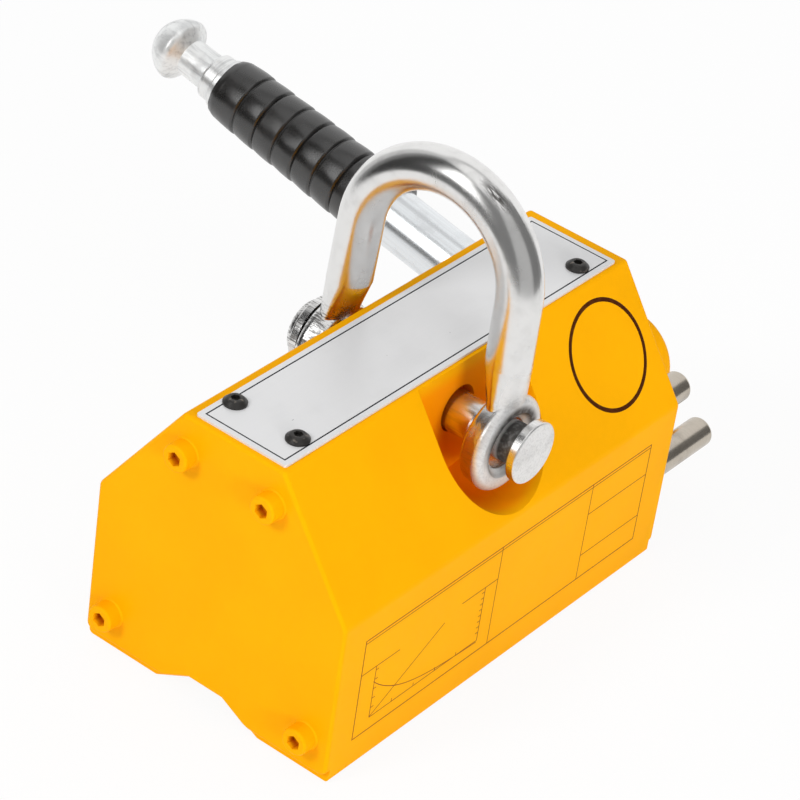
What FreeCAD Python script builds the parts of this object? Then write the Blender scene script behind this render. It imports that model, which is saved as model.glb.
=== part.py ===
import FreeCAD, Part
import math
import os

# Permanent magnetic lifter: two steel pole halves round a switchable magnet rotor.
# X runs along the rotor towards the handle, -Y is the front, +Z is up.
# The origin is the middle of the lifting face, on the plane of the two pole faces.

# Housing
body_length = 158.8
body_width = 92.6
body_height = 96.0
shoulder_height = 56.5
crown_width = 36.9
shoulder_round = 3.0
crown_round = 1.6
foot_round = 1.5
slot_width = 12.8
groove_height = 7.0
groove_width = 39.0

# End covers and their cap screws
cover_thickness = 2.0
cover_lift = 2.6
cover_corner_round = 3.0
cover_notch_gap = 0.8
cover_notch_round = 8.0
cover_edge_round = 1.2
cap_head_radius = 4.4
cap_head_height = 5.1
cap_head_round = 0.8
cap_socket = 4.2
cap_socket_depth = 2.8
cap_shank_radius = 2.5
cap_shank_depth = 14.0
cap_hole_clearance = 0.2
near_top_screw_inset = 2.45
near_top_screw_drop = 12.0
near_foot_screw_height = 13.7
far_top_screw_inset = 6.0
far_top_screw_drop = 17.0
far_foot_screw_height = 11.6
foot_screw_inset = 9.0

# Name plate and its button screws
plate_near_margin = 1.9
plate_far_margin = 4.9
plate_front_margin = 1.15
plate_rear_margin = 3.05
plate_thickness = 0.8
plate_corner = 0.8
plate_screw_inset = 12.05
plate_screw_gauge = 23.0
button_head_radius = 3.65
button_rim_height = 0.6
button_head_height = 1.9
button_crown_radius = 2.3
button_crown_round = 1.2
button_socket = 2.5
button_socket_depth = 1.1
button_shank_radius = 1.75
button_shank_depth = 9.0
button_hole_clearance = 0.2

# Rotor and its bearings
rotor_height = 31.0
rotor_radius = 20.5
air_gap = 0.5
rotor_length = 126.0
rotor_slab = 12.0
rotor_slab_margin = 0.6
rotor_magnet_count = 6
flange_radius = 20.0
flange_thickness = 4.0
journal_radius = 11.0
shaft_edge_round = 0.5
running_clearance = 0.05
end_play = 0.3
rotor_screw_radius = 15.6
rotor_screw_head_radius = 3.4
rotor_screw_head_height = 2.0
rotor_screw_shank_radius = 2.0
rotor_screw_length = 14.0

# Fixed magnets and the bars that close the slot between the poles
fixed_magnet_count = 3
fixed_magnet_length = 20.0
fixed_magnet_end = 3.0
fixed_magnet_bottom = 56.0
crown_bar_depth = 8.0

# Hub and handle
hub_radius = 17.0
hub_reach = 45.8
hub_gap = 0.6
hub_round = 3.5
hub_back_round = 0.6
hub_bore_radius = 9.5
hub_cap = 8.0
cover_hole_clearance = 0.8
handle_standoff = 25.6
handle_angle = 11.67
tube_radius = 10.0
tube_end = 164.3
spigot_radius = 6.0
spigot_depth = 7.0
rod_radius = 4.0
rod_clearance = 0.3
spring_bore_radius = 7.3
spring_seat = 122.0

# Rubber grip
grip_start = 89.0
grip_inner_radius = 12.4
grip_outer_radius = 11.2
grip_rings = 8
ring_flare = 0.45
ring_groove = 0.7
ring_step = 0.25
grip_bevel = 3.0
grip_end_radius = 10.3

# Guide collar at the tube's end
collar_flange_radius = 9.4
collar_flange_end = 166.6
collar_flange_round = 0.5
collar_nose_radius = 8.5
collar_nose_end = 171.6
collar_nose_round = 1.1
collar_plug = 14.0
fit_clearance = 0.02

# Push button, its return spring and the sliding key
neck_radius = 6.7
neck_inner_end = 152.0
knob_root = 182.4
knob_edge = 184.7
knob_edge_radius = 10.1
knob_bulge = 185.6
knob_bulge_radius = 10.85
knob_widest = 187.4
knob_radius = 11.1
knob_tip = 196.5
spring_wire_radius = 0.6
spring_turns = 6
key_outer_end = 45.0
key_length = 11.0
key_width = 7.4
key_nose = 1.0
key_nose_round = 0.8
key_back = 3.2
key_spigot_radius = 2.4
key_spigot_length = 7.0
button_travel = 8.5
slide_clearance = 0.3

# Stop pins and safety pins beside the hub
stop_pin_radius = 5.0
stop_pin_reach = 36.6
stop_pin_distance = 33.3
stop_gap = 0.05
pin_tip_round = 1.2
pin_seat_depth = 15.0
safety_pin_radius = 5.0
safety_pin_reach = 13.6
safety_pin_inset = 9.2
safety_pin_drop = 4.0

# Shackle and the pockets that it stands in
pivot_height = 78.0
pocket_radius = 22.3
pocket_lift = 1.5
shackle_shift = -3.0
shackle_lean = 2.4
bar_radius = 7.0
bow_radius = 28.9
bow_centre = 43.5
leg_splay = 1.9
leg_root = 24.0
root_end = 9.0
root_half_width = 8.0
root_half_thickness = 4.0
eye_outer_face = 35.7
eye_rim_width = 8.3
eye_boss_height = 2.4
eye_hole_radius = 8.3
eye_boss_radius = 9.6
eye_inner_radius = 14.3
eye_inner_round = 1.8
eye_outer_radius = 15.9
eye_outer_round = 2.4
eye_dish_radius = 10.6
eye_dish_depth = 1.8
eye_pin_gap = 0.3

# Through pin, its domed rear head and its front disc
pin_radius = 6.5
pin_flange_radius = 11.6
pin_flange_thickness = 2.9
pin_flange_round = 0.8
pin_dome_radius = 9.4
pin_dome_height = 3.3
pin_dome_round = 2.6
pin_rear_gap = 1.3
pin_front_gap = 5.3
pin_tail_radius = 4.0
pin_disc_radius = 9.9
pin_disc_thickness = 2.8
pin_disc_round = 0.6
pin_lead_clearance = 1.2
pin_lead_lift = 1.0
pin_lead_depth = 4.0

# Places worked out from the sizes above
half_length = body_length / 2
half_width = body_width / 2
face_far = half_length + cover_thickness
plate_near = plate_near_margin - face_far
plate_far = face_far - plate_far_margin
slot_half = slot_width / 2
groove_half = groove_width / 2
crown_half = crown_width / 2
bore_radius = rotor_radius + air_gap
bore_rise = math.sqrt(bore_radius ** 2 - slot_half ** 2)
rotor_half = rotor_length / 2
flange_face = rotor_half + flange_thickness
bush_start = flange_face + end_play
handle_x = face_far + handle_standoff
hub_start = face_far + hub_gap
hub_end = face_far + hub_reach
shaft_end = hub_end - hub_cap
collar_plug_start = tube_end - collar_plug
key_inner_end = key_outer_end - key_length
eye_inner_face = eye_outer_face - eye_rim_width
eye_boss_face = eye_inner_face - eye_boss_height
eye_drop = eye_hole_radius - pin_radius - eye_pin_gap
pin_rear = shackle_shift + eye_outer_face + pin_rear_gap
pin_front = shackle_shift - eye_outer_face - pin_front_gap
MINIMUM_EDGE = 1e-6
X_AXIS = FreeCAD.Vector(1, 0, 0)
Y_AXIS = FreeCAD.Vector(0, 1, 0)
Z_AXIS = FreeCAD.Vector(0, 0, 1)
SIDES = (-1, 1)
NEAR_END = -1
FAR_END = 1


def point(x, y, z):
    """A point in millimetres."""
    return FreeCAD.Vector(x, y, z)


def outline_face(corners, place):
    """A face inside a closed outline of (u, v, rounding) corners; place puts (u, v) in space."""
    turns = []
    for index, (u, v, rounding) in enumerate(corners):
        here = point(u, v, 0)
        last = corners[index - 1]
        following = corners[(index + 1) % len(corners)]
        back = (point(last[0], last[1], 0) - here).normalize()
        ahead = (point(following[0], following[1], 0) - here).normalize()
        if rounding == 0:
            turns.append((here, here, here))
            continue
        half = back.getAngle(ahead) / 2
        inward = (back + ahead).normalize()
        cut = rounding / math.tan(half)
        middle = here + inward * (rounding / math.sin(half) - rounding)
        turns.append((here + back * cut, middle, here + ahead * cut))
    edges = []
    for index, (start, middle, end) in enumerate(turns):
        before = turns[index - 1][2]
        if before.distanceToPoint(start) > MINIMUM_EDGE:
            edges.append(Part.LineSegment(place(before), place(start)).toShape())
        if start.distanceToPoint(end) > MINIMUM_EDGE:
            edges.append(Part.Arc(place(start), place(middle), place(end)).toShape())
    return Part.Face(Part.Wire(edges))


def bar_along_x(corners, x_from, x_to):
    """A bar along X with a rounded (y, z) outline."""
    face = outline_face(corners, lambda spot: point(x_from, spot.x, spot.y))
    return face.extrude(point(x_to - x_from, 0, 0))


def aimed(shape, origin, direction):
    """The shape with its own Z axis laid along a direction from an origin."""
    shape.Placement = FreeCAD.Placement(origin, FreeCAD.Rotation(Z_AXIS, direction))
    return shape


def turned(corners, origin, direction):
    """A turned piece from a (radius, distance along the axis, rounding) profile."""
    face = outline_face(corners, lambda spot: point(spot.x, 0, spot.y))
    return aimed(face.revolve(point(0, 0, 0), Z_AXIS, 360), origin, direction)


def rod(radius, start, direction, length):
    """A plain cylinder."""
    return Part.makeCylinder(radius, length, start, direction)


def block(low, high):
    """A box between two corners."""
    return Part.makeBox(high[0] - low[0], high[1] - low[1], high[2] - low[2], point(*low))


def cut_all(shape, tools):
    """The shape less every tool."""
    return shape.cut(tools).removeSplitter()


def hexagon(across, depth):
    """A hexagonal prism standing on the XY plane, across its flats."""
    reach = across / math.sqrt(3)
    spots = [
        point(reach * math.cos(step * math.pi / 3), reach * math.sin(step * math.pi / 3), 0)
        for step in range(7)
    ]
    return Part.Face(Part.makePolygon(spots)).extrude(Z_AXIS * depth)


def socket_screw(head, shank, socket, seat, direction):
    """A socket screw seated at a point, its head standing along a direction.

    head is the head's half outline of (radius, height, rounding) corners above the seat,
    shank its (radius, depth) below the seat and socket its (width across flats, depth).
    """
    radius, depth = shank
    across, recess_depth = socket
    outline = [(0, -depth, 0), (radius, -depth, 0), (radius, 0, 0)] + head
    screw = turned(outline, point(0, 0, 0), Z_AXIS)
    recess = hexagon(across, recess_depth)
    recess.translate(point(0, 0, head[-1][1] - recess_depth))
    return aimed(screw.cut(recess), seat, direction)


def tilted(shape):
    """A handle piece built level along +Y, raised to the handle's resting angle."""
    shape.rotate(point(0, 0, rotor_height), X_AXIS, handle_angle)
    return shape


def leaned(shape):
    """A shackle piece built upright, leaned as it stands at rest."""
    shape.rotate(point(0, 0, pivot_height), Y_AXIS, shackle_lean)
    return shape


def cover_screw_spots(end):
    """Where the four screws of the cover at one end sit, as (y, z)."""
    inset, drop, foot_height = {
        NEAR_END: (near_top_screw_inset, near_top_screw_drop, near_foot_screw_height),
        FAR_END: (far_top_screw_inset, far_top_screw_drop, far_foot_screw_height),
    }[end]
    spots = []
    for side in SIDES:
        spots.append((side * (crown_half - inset), body_height - drop))
        spots.append((side * (half_width - foot_screw_inset), foot_height))
    return spots


def plate_screw_spots():
    """Where the name plate's four screws sit, as (x, y)."""
    ends = (plate_near + plate_screw_inset, plate_far - plate_screw_inset)
    return [(x, side * plate_screw_gauge / 2) for x in ends for side in SIDES]


def stop_pin_spot():
    """(y, z) of the rear stop pin, under the tube as the handle rests on it."""
    angle = math.radians(handle_angle)
    drop = tube_radius + stop_pin_radius + stop_gap
    y = stop_pin_distance * math.cos(angle) + drop * math.sin(angle)
    z = rotor_height + stop_pin_distance * math.sin(angle) - drop * math.cos(angle)
    return y, z


def safety_pin_spot():
    """(y, z) of the rear safety pin, just under the shoulder."""
    return half_width - safety_pin_inset, shoulder_height - safety_pin_drop


def end_pins(spot, radius, reach):
    """A pair of round pins standing out of the far end, one on each side."""
    pins = []
    for side in SIDES:
        start = point(face_far - pin_seat_depth, side * spot[0], spot[1])
        length = pin_seat_depth + reach
        outline = [(0, 0, 0), (radius, 0, 0), (radius, length, pin_tip_round), (0, length, 0)]
        pins.append(turned(outline, start, X_AXIS))
    return Part.makeCompound(pins)


def end_pin_seats():
    """Rear position and radius of each pair of end pins."""
    return [(stop_pin_spot(), stop_pin_radius), (safety_pin_spot(), safety_pin_radius)]


def pivot_bore():
    """The through pin's bore across the whole housing."""
    start = point(0, -half_width, pivot_height)
    return rod(pin_radius + running_clearance, start, Y_AXIS, body_width)


def pivot_lead(side):
    """The wider, slightly raised mouth of the through pin's bore in one pocket."""
    start = point(0, side * (crown_half - pin_lead_depth), pivot_height + pin_lead_lift)
    return rod(pin_radius + pin_lead_clearance, start, Y_AXIS * side, half_width)


def pocket(side):
    """The round-bottomed pocket in one sloping side that the shackle's eye stands in."""
    floor = pivot_height + pocket_lift
    wall = side * crown_half
    barrel = rod(pocket_radius, point(0, wall, floor), Y_AXIS * side, half_width)
    sides = sorted((wall, side * body_width))
    top = body_height + pocket_radius
    mouth = block((-pocket_radius, sides[0], floor), (pocket_radius, sides[1], top))
    return barrel.fuse(mouth)


def screw_holes(side):
    """The holes that take the cover screws, plate screws and end pins in one pole half."""
    holes = []
    for end in SIDES:
        for y, z in cover_screw_spots(end):
            if y * side > 0:
                start = point(end * face_far, y, z)
                holes.append(rod(cap_shank_radius, start, X_AXIS * -end, cap_shank_depth))
    for x, y in plate_screw_spots():
        if y * side > 0:
            start = point(x, y, body_height)
            holes.append(rod(button_shank_radius, start, -Z_AXIS, button_shank_depth))
    for spot, radius in end_pin_seats():
        start = point(face_far, side * spot[0], spot[1])
        holes.append(rod(radius, start, -X_AXIS, pin_seat_depth))
    return holes


def pole_half(side):
    """One steel pole half with its share of the rotor bore, the groove and a shackle pocket."""
    outline = [
        (side * slot_half, groove_height, 0),
        (side * groove_half, 0, foot_round),
        (side * half_width, 0, foot_round),
        (side * half_width, shoulder_height, shoulder_round),
        (side * crown_half, body_height, crown_round),
        (side * slot_half, body_height, 0),
    ]
    half = bar_along_x(outline, -half_length, half_length)
    openings = [rotor_bore(), pocket(side), pivot_bore(), pivot_lead(side)]
    return cut_all(half, openings + screw_holes(side))


def rotor_bore():
    """The bore along the housing that the rotor turns in."""
    return rod(bore_radius, point(-half_length, 0, rotor_height), X_AXIS, body_length)


def slot_bar(bottom, top):
    """A bar that fills the slot between the poles from one height to another, clear of the bores."""
    bar = block((-half_length, -slot_half, bottom), (half_length, slot_half, top))
    return bar.cut([rotor_bore(), pivot_bore()])


def keel_bar():
    """The non-magnetic bar under the rotor that makes the flat of the groove."""
    return slot_bar(groove_height, rotor_height - bore_rise)


def saddle_bar():
    """The non-magnetic bar over the rotor that carries the fixed magnets."""
    return slot_bar(rotor_height + bore_rise, fixed_magnet_bottom)


def crown_bar():
    """The bar that closes the slot at the top, under the name plate."""
    return slot_bar(body_height - crown_bar_depth, body_height)


def fixed_magnets():
    """The fixed magnet blocks, in a row on either side of the through pin."""
    blocks = []
    for end in SIDES:
        for index in range(fixed_magnet_count):
            outer = half_length - fixed_magnet_end - index * fixed_magnet_length
            ends = sorted((end * outer, end * (outer - fixed_magnet_length)))
            low = (ends[0], -slot_half, fixed_magnet_bottom)
            high = (ends[1], slot_half, body_height - crown_bar_depth)
            blocks.append(block(low, high))
    return Part.makeCompound(blocks)


def cover(end, openings):
    """A thin end cover with the housing's outline, held clear of the pole faces."""
    slope = (groove_half - slot_half) / groove_height
    notch = groove_half - (cover_lift - cover_notch_gap) * slope
    outline = [
        (slot_half, groove_height + cover_notch_gap, 0),
        (notch, cover_lift, cover_notch_round),
        (half_width, cover_lift, cover_corner_round),
        (half_width, shoulder_height, shoulder_round),
        (crown_half, body_height, crown_round),
    ]
    mirrored = [(-y, z, rounding) for y, z, rounding in reversed(outline)]
    plate = bar_along_x(outline + mirrored, end * half_length, end * face_far)
    outside = end * face_far
    rim = [edge for edge in plate.Edges if abs(edge.CenterOfMass.x - outside) < MINIMUM_EDGE]
    plate = plate.makeFillet(cover_edge_round, rim)
    screw_hole = cap_shank_radius + cap_hole_clearance
    for y, z in cover_screw_spots(end):
        start = point(end * half_length, y, z)
        openings.append(rod(screw_hole, start, X_AXIS * end, cover_thickness))
    return cut_all(plate, openings)


def far_cover():
    """The far cover, open for the rotor shaft and the end pins."""
    middle = point(half_length, 0, rotor_height)
    openings = [rod(journal_radius + cover_hole_clearance, middle, X_AXIS, cover_thickness)]
    for spot, radius in end_pin_seats():
        for side in SIDES:
            start = point(half_length, side * spot[0], spot[1])
            openings.append(rod(radius, start, X_AXIS, cover_thickness))
    return cover(FAR_END, openings)


def cover_screws(end):
    """Four socket cap screws through one cover into the pole halves."""
    head = [
        (cap_head_radius, 0, 0),
        (cap_head_radius, cap_head_height, cap_head_round),
        (0, cap_head_height, 0),
    ]
    shank = (cap_shank_radius, cap_shank_depth)
    socket = (cap_socket, cap_socket_depth)
    screws = []
    for y, z in cover_screw_spots(end):
        seat = point(end * face_far, y, z)
        screws.append(socket_screw(head, shank, socket, seat, X_AXIS * end))
    return Part.makeCompound(screws)


def name_plate():
    """The thin plate on the crown, with holes for its four screws."""
    front = plate_front_margin - crown_half
    rear = crown_half - plate_rear_margin
    spots = ((plate_near, front), (plate_far, front), (plate_far, rear), (plate_near, rear))
    corners = [(x, y, plate_corner) for x, y in spots]
    face = outline_face(corners, lambda spot: point(spot.x, spot.y, body_height))
    plate = face.extrude(Z_AXIS * plate_thickness)
    radius = button_shank_radius + button_hole_clearance
    holes = [
        rod(radius, point(x, y, body_height), Z_AXIS, plate_thickness) for x, y in plate_screw_spots()
    ]
    return cut_all(plate, holes)


def name_plate_screws():
    """Four button head screws that hold the name plate."""
    head = [
        (button_head_radius, 0, 0),
        (button_head_radius, button_rim_height, 0),
        (button_crown_radius, button_head_height, button_crown_round),
        (0, button_head_height, 0),
    ]
    shank = (button_shank_radius, button_shank_depth + plate_thickness)
    socket = (button_socket, button_socket_depth)
    screws = []
    for x, y in plate_screw_spots():
        seat = point(x, y, body_height + plate_thickness)
        screws.append(socket_screw(head, shank, socket, seat, Z_AXIS))
    return Part.makeCompound(screws)


def rotor_pole(side):
    """One steel segment of the rotor, on one side of its magnets."""
    core = rod(rotor_radius, point(-rotor_half, 0, rotor_height), X_AXIS, rotor_length)
    span = sorted((side * rotor_slab / 2, side * rotor_radius))
    low = (-rotor_half, span[0], rotor_height - rotor_radius)
    high = (rotor_half, span[1], rotor_height + rotor_radius)
    return core.common(block(low, high)).cut(rotor_screw_holes())


def rotor_screw_spots():
    """Seat and outward direction of each countersunk screw in the rotor's flanges."""
    return [
        (point(end * flange_face, side * rotor_screw_radius, rotor_height), X_AXIS * end)
        for end in SIDES
        for side in SIDES
    ]


def rotor_screw(seat, direction):
    """One countersunk screw, flush with the flange."""
    outline = [
        (0, -rotor_screw_length, 0),
        (rotor_screw_shank_radius, -rotor_screw_length, 0),
        (rotor_screw_shank_radius, -rotor_screw_head_height, 0),
        (rotor_screw_head_radius, 0, 0),
        (0, 0, 0),
    ]
    return turned(outline, seat, direction)


def rotor_screw_holes():
    """The spaces that the rotor's screws fill."""
    return [rotor_screw(seat, direction) for seat, direction in rotor_screw_spots()]


def rotor_magnets():
    """The magnet blocks between the rotor's two segments."""
    tall = math.sqrt(rotor_radius ** 2 - (rotor_slab / 2) ** 2) - rotor_slab_margin
    length = rotor_length / rotor_magnet_count
    blocks = []
    for index in range(rotor_magnet_count):
        start = index * length - rotor_half
        low = (start, -rotor_slab / 2, rotor_height - tall)
        blocks.append(block(low, (start + length, rotor_slab / 2, rotor_height + tall)))
    return Part.makeCompound(blocks)


def rotor_flange_near():
    """The rotor's near flange with its journal."""
    length = half_length - end_play - rotor_half
    outline = [
        (0, 0, 0),
        (flange_radius, 0, 0),
        (flange_radius, flange_thickness, 0),
        (journal_radius, flange_thickness, 0),
        (journal_radius, length, shaft_edge_round),
        (0, length, 0),
    ]
    flange = turned(outline, point(-rotor_half, 0, rotor_height), -X_AXIS)
    return flange.cut(rotor_screw_holes())


def handle_cross_hole():
    """The radial space that the handle's spigot fills in the hub and shaft."""
    start = point(handle_x, -spigot_depth, rotor_height)
    length = spigot_depth + hub_radius + tube_radius
    return tilted(rod(spigot_radius + fit_clearance, start, Y_AXIS, length))


def rotor_shaft():
    """The rotor's far flange, journal and the shaft end inside the hub."""
    step = hub_start - rotor_half
    length = shaft_end - rotor_half
    outline = [
        (0, 0, 0),
        (flange_radius, 0, 0),
        (flange_radius, flange_thickness, 0),
        (journal_radius, flange_thickness, 0),
        (journal_radius, step, 0),
        (hub_bore_radius - fit_clearance, step, 0),
        (hub_bore_radius - fit_clearance, length, shaft_edge_round),
        (0, length, 0),
    ]
    shaft = turned(outline, point(rotor_half, 0, rotor_height), X_AXIS)
    return cut_all(shaft, rotor_screw_holes() + [handle_cross_hole()])


def bush(end):
    """A bearing bush in one end of the rotor bore."""
    length = half_length - bush_start
    outline = [
        (journal_radius + running_clearance, 0, 0),
        (bore_radius, 0, 0),
        (bore_radius, length, 0),
        (journal_radius + running_clearance, length, 0),
    ]
    return turned(outline, point(end * bush_start, 0, rotor_height), X_AXIS * end)


def hub():
    """The painted hub on the shaft end."""
    length = hub_end - hub_start
    depth = shaft_end - hub_start
    outline = [
        (hub_bore_radius, 0, 0),
        (hub_radius, 0, hub_back_round),
        (hub_radius, length, hub_round),
        (0, length, 0),
        (0, depth, 0),
        (hub_bore_radius, depth, 0),
    ]
    sleeve = turned(outline, point(hub_start, 0, rotor_height), X_AXIS)
    return sleeve.cut(handle_cross_hole())


def handle_tube():
    """The handle's bar, saddled on the hub and bored for the push rod, spring and key."""
    base = point(handle_x, 0, rotor_height)
    saddle = rod(hub_radius, point(hub_start, 0, rotor_height), X_AXIS, hub_end - hub_start)
    outer = rod(tube_radius, base, Y_AXIS, tube_end).cut(saddle)
    spigot_length = spigot_depth + hub_radius + tube_radius / 2
    spigot = rod(spigot_radius, base - Y_AXIS * spigot_depth, Y_AXIS, spigot_length)
    slot_start = key_inner_end - button_travel - slide_clearance
    rod_bore = rod(rod_radius + rod_clearance, base + Y_AXIS * slot_start, Y_AXIS, tube_end)
    spring_bore = rod(spring_bore_radius, base + Y_AXIS * spring_seat, Y_AXIS, tube_end)
    key_half = key_width / 2 + slide_clearance
    low = (handle_x - 2 * tube_radius, slot_start, rotor_height - key_half)
    high = (handle_x + key_back + slide_clearance, key_outer_end + slide_clearance, rotor_height + key_half)
    return tilted(cut_all(outer.fuse(spigot), [rod_bore, spring_bore, block(low, high)]))


def grip():
    """The rubber grip, a stack of rings that each flare towards the hub."""
    pitch = (tube_end - grip_bevel - grip_start) / grip_rings
    taper = (grip_outer_radius - grip_inner_radius) / grip_rings
    outline = [(tube_radius, grip_start, 0)]
    for ring in range(grip_rings):
        inner = grip_start + ring * pitch
        radius = grip_inner_radius + ring * taper
        outline.append((radius - ring_step, inner, 0))
        outline.append((radius + ring_flare, inner + ring_groove, 0))
        outline.append((radius + taper, inner + pitch, 0))
    outline.append((grip_end_radius, tube_end, 0))
    outline.append((tube_radius, tube_end, 0))
    return tilted(turned(outline, point(handle_x, 0, rotor_height), Y_AXIS))


def collar():
    """The guide collar in the tube's end, round the push button's neck."""
    bore = neck_radius + running_clearance
    plug = spring_bore_radius - fit_clearance
    outline = [
        (bore, collar_plug_start, 0),
        (plug, collar_plug_start, 0),
        (plug, tube_end, 0),
        (collar_flange_radius, tube_end, 0),
        (collar_flange_radius, collar_flange_end, collar_flange_round),
        (collar_nose_radius, collar_flange_end, 0),
        (collar_nose_radius, collar_nose_end, collar_nose_round),
        (bore, collar_nose_end, 0),
    ]
    return tilted(turned(outline, point(handle_x, 0, rotor_height), Y_AXIS))


def push_button():
    """The mushroom knob with its neck and the rod that runs down the handle."""
    spigot_end = key_outer_end - key_spigot_length
    dome_height = knob_tip - knob_widest
    sphere = (knob_radius ** 2 + dome_height ** 2) / (2 * dome_height)
    lean = math.asin(knob_radius / sphere) / 2
    dome = point(sphere * math.sin(lean), 0, knob_tip - sphere + sphere * math.cos(lean))
    spots = [
        point(0, 0, spigot_end),
        point(key_spigot_radius, 0, spigot_end),
        point(key_spigot_radius, 0, key_outer_end),
        point(rod_radius, 0, key_outer_end),
        point(rod_radius, 0, neck_inner_end),
        point(neck_radius, 0, neck_inner_end),
        point(neck_radius, 0, knob_root),
        point(knob_edge_radius, 0, knob_edge),
    ]
    edges = [Part.LineSegment(*pair).toShape() for pair in zip(spots, spots[1:])]
    widest = point(knob_radius, 0, knob_widest)
    tip = point(0, 0, knob_tip)
    bulge = point(knob_bulge_radius, 0, knob_bulge)
    edges.append(Part.Arc(spots[-1], bulge, widest).toShape())
    edges.append(Part.Arc(widest, dome, tip).toShape())
    edges.append(Part.LineSegment(tip, spots[0]).toShape())
    solid = Part.Face(Part.Wire(edges)).revolve(point(0, 0, 0), Z_AXIS, 360)
    return tilted(aimed(solid, point(handle_x, 0, rotor_height), Y_AXIS))


def return_spring():
    """The compression spring between the tube's inner shoulder and the button's neck."""
    mean = (rod_radius + spring_bore_radius) / 2
    start = spring_seat + spring_wire_radius + slide_clearance
    end = neck_inner_end - spring_wire_radius - slide_clearance
    pitch = (end - start) / spring_turns
    path = Part.Wire(Part.makeHelix(pitch, end - start, mean))
    section = Part.Wire(Part.Circle(point(mean, 0, 0), Y_AXIS, spring_wire_radius).toShape())
    coil = path.makePipeShell([section], True, True)
    return tilted(aimed(coil, point(handle_x, start, rotor_height), Y_AXIS))


def lock_key():
    """The key that the push rod slides along the handle's inner side."""
    key = block(
        (handle_x - tube_radius - key_nose, key_inner_end, rotor_height - key_width / 2),
        (handle_x + key_back, key_outer_end, rotor_height + key_width / 2),
    )
    nose = [edge for edge in key.Edges if edge.CenterOfMass.x < handle_x - tube_radius]
    key = key.makeFillet(key_nose_round, nose)
    socket_start = point(handle_x, key_outer_end - key_spigot_length, rotor_height)
    return tilted(key.cut(rod(key_spigot_radius, socket_start, Y_AXIS, key_spigot_length)))


def eye(side):
    """One forged eye of the shackle, hanging with the top of its hole on the through pin."""
    outline = [
        (eye_hole_radius, eye_boss_face, 0),
        (eye_boss_radius, eye_boss_face, 0),
        (eye_boss_radius, eye_inner_face, 0),
        (eye_inner_radius, eye_inner_face, eye_inner_round),
        (eye_outer_radius, eye_outer_face, eye_outer_round),
        (eye_dish_radius, eye_outer_face, 0),
        (eye_hole_radius, eye_outer_face - eye_dish_depth, 0),
    ]
    return turned(outline, point(0, shackle_shift, pivot_height - eye_drop), Y_AXIS * side)


def leg_axis(side, height):
    """The middle of one leg at a height above the pivot."""
    splay = math.radians(leg_splay)
    rise = bow_centre + bow_radius * math.sin(splay) - height
    reach = bow_radius * math.cos(splay) + rise * math.tan(splay)
    return point(0, shackle_shift + side * reach, pivot_height + height)


def leg_end(side):
    """A straight leg of the shackle with its forged root, which flattens and widens into the eye."""
    splay = math.radians(leg_splay)
    down = point(0, side * math.sin(splay), -math.cos(splay))
    top = leg_axis(side, bow_centre + bow_radius * math.sin(splay))
    joint = leg_axis(side, leg_root)
    leg = rod(bar_radius, top, down, top.distanceToPoint(joint))
    round_end = Part.Wire(Part.Circle(joint, down, bar_radius).toShape())
    middle = point(0, shackle_shift + side * (eye_inner_face + eye_outer_face) / 2, pivot_height + root_end)
    wide = middle + X_AXIS * root_half_width
    thick = middle + Y_AXIS * root_half_thickness
    flat_end = Part.Wire(Part.Ellipse(wide, thick, middle).toShape())
    root = Part.makeLoft([round_end, flat_end], True)
    return leg.fuse(root)


def shackle():
    """The lifting shackle: a round bar bent into a bow, with a forged eye at each end."""
    splay = math.radians(leg_splay)
    middle = point(0, shackle_shift, pivot_height + bow_centre)
    start = leg_axis(1, bow_centre + bow_radius * math.sin(splay))
    along = point(0, -math.sin(splay), math.cos(splay))
    section = Part.Face(Part.Wire(Part.Circle(start, along, bar_radius).toShape()))
    bow = section.revolve(middle, X_AXIS, 180 - 2 * leg_splay)
    pieces = [make(side) for side in SIDES for make in (leg_end, eye)]
    body = bow.fuse(pieces).removeSplitter()
    hole_start = point(0, shackle_shift - body_width, pivot_height - eye_drop)
    through = rod(eye_hole_radius, hole_start, Y_AXIS, 2 * body_width)
    return leaned(body.cut(through))


def shackle_pin():
    """The through pin that the shackle swings on, with its flanged and domed rear head."""
    dome_foot = pin_rear + pin_flange_thickness
    outline = [
        (0, pin_front - pin_disc_thickness, 0),
        (pin_tail_radius, pin_front - pin_disc_thickness, 0),
        (pin_tail_radius, pin_front, 0),
        (pin_radius, pin_front, 0),
        (pin_radius, pin_rear, 0),
        (pin_flange_radius, pin_rear, 0),
        (pin_flange_radius, dome_foot, pin_flange_round),
        (pin_dome_radius, dome_foot, 0),
        (pin_dome_radius, dome_foot + pin_dome_height, pin_dome_round),
        (0, dome_foot + pin_dome_height, 0),
    ]
    return turned(outline, point(0, 0, pivot_height), Y_AXIS)


def pin_disc():
    """The disc riveted on the through pin's front end."""
    outline = [
        (pin_tail_radius, 0, 0),
        (pin_disc_radius, 0, 0),
        (pin_disc_radius, pin_disc_thickness, pin_disc_round),
        (pin_tail_radius, pin_disc_thickness, 0),
    ]
    return turned(outline, point(0, pin_front, pivot_height), -Y_AXIS)


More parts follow.
